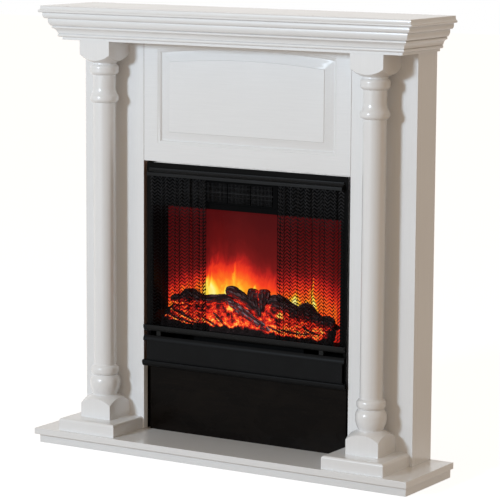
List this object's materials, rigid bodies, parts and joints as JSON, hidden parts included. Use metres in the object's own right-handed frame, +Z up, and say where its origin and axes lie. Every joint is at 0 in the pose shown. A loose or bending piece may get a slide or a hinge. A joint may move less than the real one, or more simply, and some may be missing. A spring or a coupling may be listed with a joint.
{
  "type": "electric fireplace",
  "caption": "Electric fireplace suite: white turned-column surround and hearth, black inset fire with sliding mesh curtains, moulded logs, fan heater and a flip-down control door.",
  "frame": {"origin": "middle of the hearth's footprint on the floor", "axes": "+Z up, +Y towards the wall behind, so the fire faces -Y; +X to the right seen from the front"},
  "size_m": [1.006, 0.226, 1.042],
  "materials": {
    "white_lacquer": "satin white lacquer over board and solid timber",
    "bare_timber": "unfinished softwood and board",
    "dark_board": "semi-gloss black-brown stain",
    "black_metal": "satin black powder coat on sheet steel",
    "zinc": "zinc plated",
    "black_plastic": "moulded black plastic",
    "rubber": "black rubber",
    "mesh": "woven wire, blackened",
    "screen": "translucent sheet lit from behind",
    "embers": "moulded translucent coals",
    "log": "moulded and painted as charred wood",
    "circuit": "printed board with components",
    "heater": "sheathed element with fins",
    "bright": "bright aluminium",
    "motor": "pressed steel can and laminations"
  },
  "bodies": {
    "suite": {"hearth_base": "white_lacquer", "hearth_top": "white_lacquer", "plinths": "white_lacquer", "left_column": "white_lacquer", "right_column": "white_lacquer", "column_dowels": "bare_timber", "left_pilaster": "white_lacquer", "right_pilaster": "white_lacquer", "side_boards": "white_lacquer", "frieze_panel": "white_lacquer", "crown_front": "white_lacquer", "crown_returns": "white_lacquer", "crown_soffit": "white_lacquer", "mantel_top": "white_lacquer", "lower_board": "dark_board", "insert_shelf": "bare_timber", "opening_cheeks": "bare_timber", "glue_blocks": "bare_timber", "wall_brackets": "zinc", "bracket_screws": "zinc", "case_shell": "zinc", "case_back": "zinc", "case_screws": "zinc", "cable_gland": "rubber", "front_frame": "black_metal", "hood": "black_metal", "fender": "black_metal", "vent_fascia": "black_metal", "outlet_grille": "black_metal", "side_liners": "black_metal", "flame_screen": "screen", "firebox_floor": "zinc", "ember_bed": "embers", "curtain_rod": "black_metal", "rod_stops": "black_metal", "left_curtain": "mesh", "right_curtain": "mesh", "hinge_pins": "zinc", "control_panel": "black_plastic", "circuit_board": "circuit", "spindle_motor": "motor", "led_strip": "circuit", "heater_housing": "zinc", "heating_element": "heater", "blower_motor": "motor", "log_left": "log", "log_front": "log", "log_back": "log", "log_middle": "log", "log_right": "log"},
    "left_curtain_lead": {"left_curtain_lead": "mesh"},
    "right_curtain_lead": {"right_curtain_lead": "mesh"},
    "control_door": {"door_panel": "black_metal", "door_rails": "black_metal"},
    "power_switch": {"power_switch": "black_plastic"},
    "heat_switch": {"heat_switch": "black_plastic"},
    "flame_knob": {"flame_knob": "black_plastic"},
    "thermostat_knob": {"thermostat_knob": "black_plastic"},
    "flame_spindle": {"flame_spindle": "bright"},
    "blower_wheel": {"blower_wheel": "bright"}
  },
  "joints": [
    {"name": "control_door_hinge", "type": "hinge", "parent": "suite", "child": "control_door", "pos_m": [0, 0.019, 0.197], "axis": [1, 0, 0], "range_deg": [0, 90]},
    {"name": "power_switch_rocker", "type": "hinge", "parent": "suite", "child": "power_switch", "pos_m": [-0.1, 0.044, 0.232], "axis": [1, 0, 0], "range_deg": [0, 12]},
    {"name": "heat_switch_rocker", "type": "hinge", "parent": "suite", "child": "heat_switch", "pos_m": [-0.06, 0.044, 0.232], "axis": [1, 0, 0], "range_deg": [0, 12]},
    {"name": "flame_knob_turn", "type": "hinge", "parent": "suite", "child": "flame_knob", "pos_m": [0.03, 0.042, 0.232], "axis": [0, -1, 0], "range_deg": [0, 270]},
    {"name": "thermostat_knob_turn", "type": "hinge", "parent": "suite", "child": "thermostat_knob", "pos_m": [0.095, 0.042, 0.232], "axis": [0, -1, 0], "range_deg": [0, 270]},
    {"name": "flame_spindle_spin", "type": "hinge", "parent": "suite", "child": "flame_spindle", "pos_m": [0, 0.091, 0.326], "axis": [1, 0, 0], "continuous": true},
    {"name": "blower_spin", "type": "hinge", "parent": "suite", "child": "blower_wheel", "pos_m": [0, 0.08, 0.648], "axis": [1, 0, 0], "continuous": true},
    {"name": "left_curtain_slide", "type": "slide", "parent": "suite", "child": "left_curtain_lead", "axis": [1, 0, 0], "range_m": [-0.118, 0.097], "deforming": ["left_curtain"]},
    {"name": "right_curtain_slide", "type": "slide", "parent": "suite", "child": "right_curtain_lead", "axis": [1, 0, 0], "range_m": [-0.086, 0.138], "deforming": ["right_curtain"]}
  ]
}
